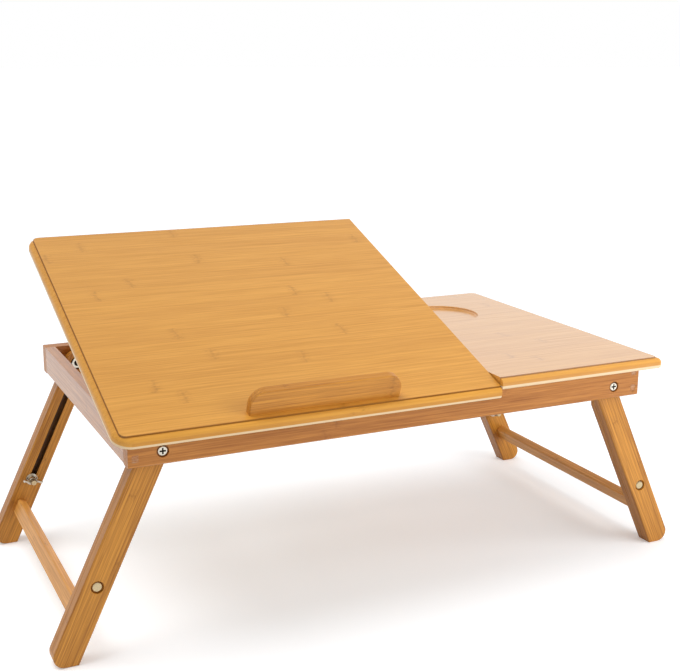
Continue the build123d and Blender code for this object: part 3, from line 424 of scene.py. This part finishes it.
class STAND_OT_panels(bpy.types.Operator):
    """Finish the fixed panel, the tilting panel and its stop ledge"""
    bl_idname = "stand.panels"
    bl_label = "Panels"

    def execute(self, context):
        wood = context.scene.stand_bamboo
        # The pale band under the panels is painted light, for the floor's bounce on their lower edge
        panel = {"clear": wood.panel_colour, "fibre": wood.panel_fibre, "strip": wood.strip_width,
                 "pale": wood.bounce_and_scratch_pale, "pale_below": wood.bounce_band_thickness / MM, "contrast": 0.5}
        # Both panels have the same depth, and a moulding with its painted step shade on three of their sides
        low, high = (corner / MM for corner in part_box("fixed_panel"))
        length, depth = high.x - low.x, high.y - low.y
        groove = (((length - MOULDING_WIDTH - PAST_OPEN_SIDE) / 2, depth / 2, 0),
                  ((length - MOULDING_WIDTH + PAST_OPEN_SIDE) / 2, depth / 2 - MOULDING_WIDTH),
                  FIXED_FIELD_CORNER)
        level = grain_frame(X_AXIS, Y_AXIS, low * MM)
        dress_wood(["fixed_panel"], "Fixed panel bamboo", grain=level, groove=groove, sheen=0.5, gloss=1.0,
                   coat_ior=2.0, **panel)
        up_slope = Vector((0, math.cos(REST_TILT), math.sin(REST_TILT)))
        off_panel = X_AXIS.cross(up_slope)
        corners = [vertex.co - HINGE_LINE for vertex in frame["nodes"]["tilting_panel"].data.vertices]
        underside = min(off_panel.dot(corner) for corner in corners)
        front = min(up_slope.dot(corner) for corner in corners)
        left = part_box("tilting_panel")[0].x
        start = HINGE_LINE + left * X_AXIS + front * up_slope + underside * off_panel
        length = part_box("tilting_panel")[1].x / MM - left / MM
        groove = (((length + MOULDING_WIDTH + PAST_OPEN_SIDE) / 2, depth / 2, 0),
                  ((length - MOULDING_WIDTH + PAST_OPEN_SIDE) / 2, depth / 2 - MOULDING_WIDTH),
                  TILTING_FIELD_CORNER)
        tilted = grain_frame(X_AXIS, up_slope, start)
        dress_wood(["tilting_panel"], "Tilting panel bamboo", grain=tilted, groove=groove, gloss=0.3,
                   **panel)
        dress_wood(["stop_ledge"], "Ledge bamboo", wood.leg_colour, wood.apron_fibre, tilted, contrast=0.7,
                   strip=wood.leg_strip_width, ply=60.0)
        return {"FINISHED"}


class STAND_OT_drawer(bpy.types.Operator):
    """Finish the drawer's front, sides, rear, bottom and knob"""
    bl_idname = "stand.drawer"
    bl_label = "Drawer"

    def execute(self, context):
        wood = context.scene.stand_bamboo
        strip = wood.strip_width / 2
        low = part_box("drawer_front")[0]
        light = {"clear": wood.light_colour, "fibre": wood.light_fibre}
        dress_wood(["drawer_front"], "Drawer front bamboo", wood.apron_colour, wood.apron_fibre,
                   grain_frame(Y_AXIS, Z_AXIS, low), strip=strip)
        dress_wood(["front_drawer_side", "back_drawer_side"], "Drawer side bamboo",
                   grain=grain_frame(X_AXIS, Z_AXIS, low), strip=strip, **light)
        dress_wood(["drawer_rear"], "Drawer rear bamboo", grain=grain_frame(Y_AXIS, Z_AXIS, low),
                   strip=strip, **light)
        dress_wood(["drawer_bottom"], "Drawer bottom bamboo", grain=grain_frame(Y_AXIS, X_AXIS, low),
                   strip=wood.strip_width, **light)
        dress_wood(["drawer_knob"], "Knob bamboo", grain=grain_frame(X_AXIS, Z_AXIS),
                   strip=wood.leg_strip_width, **light)
        return {"FINISHED"}


class STAND_OT_prop(bpy.types.Operator):
    """Finish the prop strut under the tilting panel"""
    bl_idname = "stand.prop"
    bl_label = "Prop"

    def execute(self, context):
        wood = context.scene.stand_bamboo
        low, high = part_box("prop_strut")
        along = Vector((0, high.y - low.y, high.z - low.z))
        dress_wood(["prop_strut"], "Prop bamboo", wood.light_colour, wood.light_fibre,
                   grain_frame(along, X_AXIS, low), strip=wood.leg_strip_width)
        return {"FINISHED"}


class STAND_OT_legs(bpy.types.Operator):
    """Finish the eight planks of the legs and the two stretchers"""
    bl_idname = "stand.legs"
    bl_label = "Legs"

    def execute(self, context):
        wood = context.scene.stand_bamboo
        slot = (SLOT_ENDS, (HALF_LEG - SLOT_HALF_WIDTH, HALF_LEG + SLOT_HALF_WIDTH), SLOT_WALLS)
        for side, up_leg in UP_LEG.items():
            pivot = Vector(JOINTS[f"{side}_leg_fold"]["pos_m"])
            across = Y_AXIS.cross(up_leg)
            grain = grain_frame(-up_leg, across, pivot - HALF_LEG * MM * across)
            planks = [f"{end}_{side}_{layer}_plank"
                      for end in ("front", "back") for layer in ("outer", "inner")]
            dress_wood(planks, "Leg bamboo", wood.leg_colour, wood.leg_fibre, grain,
                       strip=wood.leg_strip_width, ply=30.0, slot=slot)
            dress_wood([f"{side}_stretcher"], "Stretcher bamboo", wood.light_colour, wood.light_fibre,
                       grain_frame(Y_AXIS, up_leg, pivot), strip=wood.leg_strip_width)
        return {"FINISHED"}


# ---------------------------------------------------------------- hardware

SPOT_SIZE = 1.5 * MM
SPOT_TONE = 0.72  # tone of a dull spot beside that of bright plate
PLATE_DEPTH = 0.02 * MM


def plated_steel(name, plate, roughness, brush_mm):
    """Plated steel: nickel or zinc on a drawn and stamped part. The eye sees a bright grey metal with faint
    drawing lines, a slightly uneven gloss and small dull spots."""
    material = bpy.data.materials.new(name)
    material.use_nodes = True
    tree = material.node_tree
    tree.nodes.clear()
    place = add_node(tree, "ShaderNodeTexCoord")
    lines_mm = add_node(tree, "ShaderNodeMapping", {
        "Vector": place.outputs["Object"], "Scale": [1 / (size * MM) for size in brush_mm]})
    lines = add_node(tree, "ShaderNodeTexNoise", {
        "Vector": lines_mm.outputs[0], "Scale": 1.0, "Detail": 3.0})
    spots_mm = add_node(tree, "ShaderNodeMapping", {
        "Vector": place.outputs["Object"], "Scale": (1 / SPOT_SIZE,) * 3})
    spots = add_node(tree, "ShaderNodeTexNoise", {
        "Vector": spots_mm.outputs[0], "Scale": 1.0, "Detail": 2.0})
    gloss = add_node(tree, "ShaderNodeMapRange", {
        "Value": lines.outputs["Fac"], "From Min": 0.3, "From Max": 0.7,
        "To Min": roughness * 0.75, "To Max": roughness * 1.3})
    dull = [channel * SPOT_TONE for channel in plate[:3]] + [1.0]
    colour = add_node(tree, "ShaderNodeMix", {0: spots.outputs["Fac"], 6: plate, 7: dull}, data_type="RGBA")
    bump = add_node(tree, "ShaderNodeBump", {
        "Height": lines.outputs["Fac"], "Strength": 0.15, "Distance": PLATE_DEPTH})
    shader = add_node(tree, "ShaderNodeBsdfPrincipled", {
        "Base Color": colour.outputs[2], "Metallic": 1.0, "Roughness": gloss.outputs[0],
        "Normal": bump.outputs[0]})
    add_node(tree, "ShaderNodeOutputMaterial", {"Surface": shader.outputs[0]})
    return material


def screw_steel(name, plate, pivot, radius, head_face, depth):
    """Bright plated steel of a turned screw, whose driver recess holds a dark shadow and some polish: the eye
    sees a black cross."""
    material = plated_steel(name, plate, roughness=0.2, brush_mm=(0.3, 0.3, 0.3))
    tree = material.node_tree
    shader = next(node for node in tree.nodes if node.type == "BSDF_PRINCIPLED")
    plain_metal = shader.inputs["Base Color"].links[0].from_socket
    place = add_node(tree, "ShaderNodeTexCoord")
    mirrored = add_node(tree, "ShaderNodeVectorMath", {0: place.outputs["Object"]}, operation="ABSOLUTE")
    from_axis = add_node(tree, "ShaderNodeVectorMath", {
        0: mirrored.outputs[0], 1: (abs(pivot.x), head_face, pivot.z)}, operation="SUBTRACT")
    split = add_node(tree, "ShaderNodeSeparateXYZ", {"Vector": from_axis.outputs[0]})
    flat = add_node(tree, "ShaderNodeCombineXYZ", {"X": split.outputs["X"], "Y": split.outputs["Z"]})
    reach = add_node(tree, "ShaderNodeVectorMath", {0: flat.outputs[0]}, operation="LENGTH")
    near = add_node(tree, "ShaderNodeMath", {0: reach.outputs["Value"], 1: radius}, operation="LESS_THAN")
    below = add_node(tree, "ShaderNodeMath", {0: split.outputs["Y"], 1: -depth}, operation="LESS_THAN")
    recess = add_node(tree, "ShaderNodeMath", {0: near.outputs[0], 1: below.outputs[0]},
                      operation="MULTIPLY")
    dark = bpy.context.scene.stand_hardware.recess_colour
    colour = add_node(tree, "ShaderNodeMix", {0: recess.outputs[0], 6: plain_metal, 7: dark},
                      data_type="RGBA")
    tree.links.new(colour.outputs[2], shader.inputs["Base Color"])
    return material


class STAND_OT_fasteners(bpy.types.Operator):
    """Finish the screws, bolts, washers, hinges and brackets"""
    bl_idname = "stand.fasteners"
    bl_label = "Fasteners and hinges"

    def execute(self, context):
        metal = context.scene.stand_hardware
        nickel = plated_steel("Nickel plated steel", metal.nickel_colour, roughness=0.22,
                              brush_mm=(0.25, 2.0, 0.25))
        zinc = plated_steel("Zinc plated steel", metal.zinc_colour, roughness=0.34, brush_mm=(2.0, 0.2, 0.2))
        pivot = Vector(JOINTS["right_leg_fold"]["pos_m"])
        screws = screw_steel("Pivot screw steel", metal.nickel_colour, pivot, radius=3.2 * MM,
                             head_face=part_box("pivot_screws")[1].y, depth=0.15 * MM)
        dress("pivot_screws", screws, MACHINED_EDGE)
        for node in ("pivot_spacers", "pivot_nuts", "prop_pin", "prop_foot_pin", "left_washers",
                     "right_washers"):
            dress(node, nickel, MACHINED_EDGE)
        brassy = plated_steel("Brassy nickel plated steel", metal.bolt_colour, roughness=0.25,
                              brush_mm=(0.8, 0.8, 0.8))
        for node in ("left_bolts", "right_bolts"):
            dress(node, brassy, MACHINED_EDGE)
        for node in ("frame_hinge_leaves", "hinge_pins", "frame_hinge_screws", "panel_hinge_leaves",
                     "panel_hinge_screws", "ledge_screws", "prop_brackets", "bracket_screws", "knob_screw"):
            dress(node, zinc, SHEET_EDGE)
        return {"FINISHED"}


# Shape of a wing nut: its barrel narrows upwards, and its wings stand beside its top and lean outwards
BARREL_TAPER = 0.86
WING_LEAN = 38
WING_OUT = 1.28  # middle of a wing from the bolt's line, in radii of the barrel
WING_UP = 0.82  # middle of a wing above the seat, in heights of the barrel
WING_ROUND = 0.4  # rounding of a wing's rim, in thicknesses of the wing


def wing_nut_shape(length, width, thickness, radius, bore, barrel):
    """A wing nut standing on its seat at the origin, with Z along the bolt and its wings along X."""
    shape = bmesh.new()
    # The barrel: its section, spun round the bolt
    section = [(bore, 0), (radius, 0), (radius * BARREL_TAPER, barrel), (bore, barrel)]
    corners = [shape.verts.new((x, 0, z)) for x, z in section]
    edges = [shape.edges.new((corners[i], corners[(i + 1) % len(corners)])) for i in range(len(corners))]
    bmesh.ops.spin(shape, geom=corners + edges, cent=(0, 0, 0), axis=(0, 0, 1), angle=2 * math.pi, steps=40,
                   use_merge=True)
    # Each wing: an oval plate that leans outwards, with rounded edges
    for side in (-1, 1):
        oval = bmesh.ops.create_circle(shape, cap_ends=True, radius=0.5, segments=28)["verts"]
        bmesh.ops.scale(shape, vec=(length, width, 1), verts=oval)
        upright = Matrix.Rotation(math.radians(90), 3, "X")
        lean = Matrix.Rotation(math.radians(-side * WING_LEAN), 3, "Y")
        bmesh.ops.rotate(shape, matrix=lean @ upright, cent=(0, 0, 0), verts=oval)
        root = (side * radius * WING_OUT, thickness / 2, barrel * WING_UP)
        bmesh.ops.translate(shape, vec=root, verts=oval)
        plate = [face for face in shape.faces if set(face.verts) == set(oval)]
        extruded = bmesh.ops.extrude_face_region(shape, geom=plate, use_keep_orig=True)["geom"]
        far = [item for item in extruded if isinstance(item, bmesh.types.BMVert)]
        bmesh.ops.translate(shape, vec=(0, -thickness, 0), verts=far)
        rim = [edge for edge in shape.edges
               if set(edge.verts) <= set(oval) or set(edge.verts) <= set(far)]
        bmesh.ops.bevel(shape, geom=rim, offset=thickness * WING_ROUND, segments=3, profile=0.5,
                        affect="EDGES", material=-1)
    bmesh.ops.recalc_face_normals(shape, faces=shape.faces)
    return shape


class STAND_OT_wing_nuts(bpy.types.Operator):
    """Make the four wing nuts that clamp the legs' planks"""
    bl_idname = "stand.wing_nuts"
    bl_label = "Wing nuts"

    def execute(self, context):
        metal = context.scene.stand_hardware
        nickel = plated_steel("Wing nut nickel", metal.nickel_colour, roughness=0.2, brush_mm=(0.4, 0.4, 0.4))
        for corner in CORNERS:
            node = f"{corner}_wing_nut"
            low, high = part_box(node)
            inward = -1 if corner.startswith("back") else 1
            away = Vector((0, inward, 0))
            up_leg = UP_LEG[corner.split("_")[1]]
            turned = Matrix.Rotation(math.radians(WING_TURN[corner]), 3, away)
            across = turned @ away.cross(up_leg).normalized()
            down = away.cross(across)
            seat = Vector(JOINTS[f"{corner}_nut_turn"]["pos_m"])
            seat.y = high.y if inward < 0 else low.y
            shape = wing_nut_shape(metal.wing_length, metal.wing_width, metal.wing_thickness,
                                   radius=4.5 * MM, bore=2.55 * MM, barrel=6.6 * MM)
            place = Matrix((across, down, away)).transposed().to_4x4()
            place.translation = seat
            bmesh.ops.transform(shape, matrix=place, verts=shape.verts)
            mesh = bpy.data.meshes.new(f"{corner}_wing_nut_piece")
            shape.to_mesh(mesh)
            shape.free()
            mesh.shade_smooth()
            piece = bpy.data.objects.new(mesh.name, mesh)
            context.scene.collection.objects.link(piece)
            mesh.materials.append(nickel)
            shading = piece.modifiers.new("Flat faces stay flat", "WEIGHTED_NORMAL")
            shading.keep_sharp = True
            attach(piece, node)
            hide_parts(node)
        return {"FINISHED"}


# ---------------------------------------------------------------- stage

# Places and widths, in metres
FLOOR_HALF_WIDTH = 30
KEY_ANGLE = math.radians(45)
KEY_PLACE = (-0.55, 0.25, 1.6)
KEY_TARGET = (0, 0, 0)
FILL_WIDTH = 0.9
FILL_PLACE = (0.8, -0.85, 0.5)
FILL_TARGET = (0.1, 0, 0.15)
CAMERA_PLACE = (-477.2 * MM, -1021.0 * MM, 493.7 * MM)
CAMERA_TURN = (25.463, -13.730, 0.353)  # degrees to the right, up, and with its right side lifted
CAMERA_LENS = 61.66


def seen_straight(tree):
    """The kinds of light path, and a value of 1 for what the camera sees, also in a shiny surface."""
    ray = add_node(tree, "ShaderNodeLightPath")
    seen = add_node(tree, "ShaderNodeMath", {
        0: ray.outputs["Is Camera Ray"], 1: ray.outputs["Is Glossy Ray"]}, operation="MAXIMUM")
    return ray, seen


class STAND_OT_stage(bpy.types.Operator):
    """Make the floor, the lights, the white surroundings and the camera"""
    bl_idname = "stand.stage"
    bl_label = "Stage"

    def execute(self, context):
        stage = context.scene.stand_stage
        scene = context.scene

        # Matt floor paper. To the camera it is lifted to white where no shadow falls
        paper = bpy.data.materials.new("Floor paper")
        paper.use_nodes = True
        tree = paper.node_tree
        tree.nodes.clear()
        seen = seen_straight(tree)[1]
        lifted = add_node(tree, "ShaderNodeMath", {0: seen.outputs[0], 1: stage.floor_lift},
                          operation="MULTIPLY")
        matt = add_node(tree, "ShaderNodeBsdfDiffuse", {"Color": stage.floor_colour})
        glow = add_node(tree, "ShaderNodeEmission", {"Strength": lifted.outputs[0]})
        both = add_node(tree, "ShaderNodeAddShader", {0: matt.outputs[0], 1: glow.outputs[0]})
        add_node(tree, "ShaderNodeOutputMaterial", {"Surface": both.outputs[0]})
        shape = bmesh.new()
        bmesh.ops.create_grid(shape, x_segments=1, y_segments=1, size=FLOOR_HALF_WIDTH)
        mesh = bpy.data.meshes.new("studio_floor")
        shape.to_mesh(mesh)
        shape.free()
        floor = bpy.data.objects.new("studio_floor", mesh)
        scene.collection.objects.link(floor)
        mesh.materials.append(paper)

        # A very soft light from high up, a little left and behind, and a broad one low on the front's right
        key = bpy.data.lights.new("Key light", "SUN")
        key.energy = stage.key_strength
        key.angle = KEY_ANGLE
        fill = bpy.data.lights.new("Fill light", "AREA")
        fill.energy = stage.fill_strength
        fill.size = FILL_WIDTH
        for lamp, place, target in ((key, KEY_PLACE, KEY_TARGET), (fill, FILL_PLACE, FILL_TARGET)):
            light = bpy.data.objects.new(lamp.name, lamp)
            light.location = place
            light.rotation_euler = (Vector(target) - Vector(place)).to_track_quat("-Z", "Y").to_euler()
            light.visible_glossy = False
            scene.collection.objects.link(light)

        # White surroundings for the camera and for reflections, and a plain soft light from all round
        world = bpy.data.worlds.new("White studio")
        world.use_nodes = True
        tree = world.node_tree
        tree.nodes.clear()
        ray, seen = seen_straight(tree)
        clear = add_node(tree, "ShaderNodeMath", {0: seen.outputs[0], 1: ray.outputs["Is Transmission Ray"]},
                         operation="MAXIMUM")
        strength = add_node(tree, "ShaderNodeMapRange", {
            "Value": clear.outputs[0], "To Min": stage.ambient, "To Max": 1.0})
        sky = add_node(tree, "ShaderNodeBackground", {
            "Color": (1, 1, 1, 1), "Strength": strength.outputs[0]})
        add_node(tree, "ShaderNodeOutputWorld", {"Surface": sky.outputs[0]})
        scene.world = world
        scene.view_settings.view_transform = "Standard"

        # The camera stands left of the front, a little above the stand, and looks slightly down
        yaw, pitch, roll = (math.radians(degrees) for degrees in CAMERA_TURN)
        forward = Vector((math.sin(yaw) * math.cos(pitch), math.cos(yaw) * math.cos(pitch), math.sin(pitch)))
        level = Vector((math.cos(yaw), -math.sin(yaw), 0))
        upright = level.cross(forward)
        right = level * math.cos(roll) + upright * math.sin(roll)
        up = upright * math.cos(roll) - level * math.sin(roll)
        lens = bpy.data.cameras.new("Camera")
        lens.lens = CAMERA_LENS
        lens.sensor_width = 36
        lens.sensor_fit = "HORIZONTAL"
        lens.clip_end = 100
        camera = bpy.data.objects.new("Camera", lens)
        camera.matrix_world = Matrix((right, up, -forward)).transposed().to_4x4()
        camera.location = CAMERA_PLACE
        scene.collection.objects.link(camera)
        scene.camera = camera
        return {"FINISHED"}


class STAND_PT_sidebar(bpy.types.Panel):
    """Buttons and settings of the laptop stand"""
    bl_label = "Laptop stand"
    bl_idname = "STAND_PT_sidebar"
    bl_space_type = "VIEW_3D"
    bl_region_type = "UI"
    bl_category = "Laptop stand"

    def draw(self, context):
        column = self.layout.column()
        for operator in OPERATORS:
            column.operator(operator.bl_idname)
        for group in (context.scene.stand_bamboo, context.scene.stand_hardware, context.scene.stand_stage):
            for name in group.__annotations__:
                column.prop(group, name)


SETTINGS = {"stand_bamboo": BambooSettings, "stand_hardware": HardwareSettings, "stand_stage": StageSettings}
OPERATORS = [STAND_OT_frame, STAND_OT_panels, STAND_OT_drawer, STAND_OT_prop, STAND_OT_legs,
             STAND_OT_fasteners, STAND_OT_wing_nuts, STAND_OT_stage]
CLASSES = [*SETTINGS.values(), *OPERATORS, STAND_PT_sidebar]


def register():
    """Register the settings, the operators and the sidebar panel."""
    for cls in CLASSES:
        bpy.utils.register_class(cls)
    for name, group in SETTINGS.items():
        setattr(bpy.types.Scene, name, bpy.props.PointerProperty(type=group))


def unregister():
    """Remove what register() added."""
    for name in SETTINGS:
        delattr(bpy.types.Scene, name)
    for cls in reversed(CLASSES):
        bpy.utils.unregister_class(cls)


def main():
    """Finish the whole stand."""
    register()
    for operator in OPERATORS:
        group, name = operator.bl_idname.split(".")
        getattr(getattr(bpy.ops, group), name)()
    bpy.context.view_layer.update()


if __name__ == "__main__":
    main()
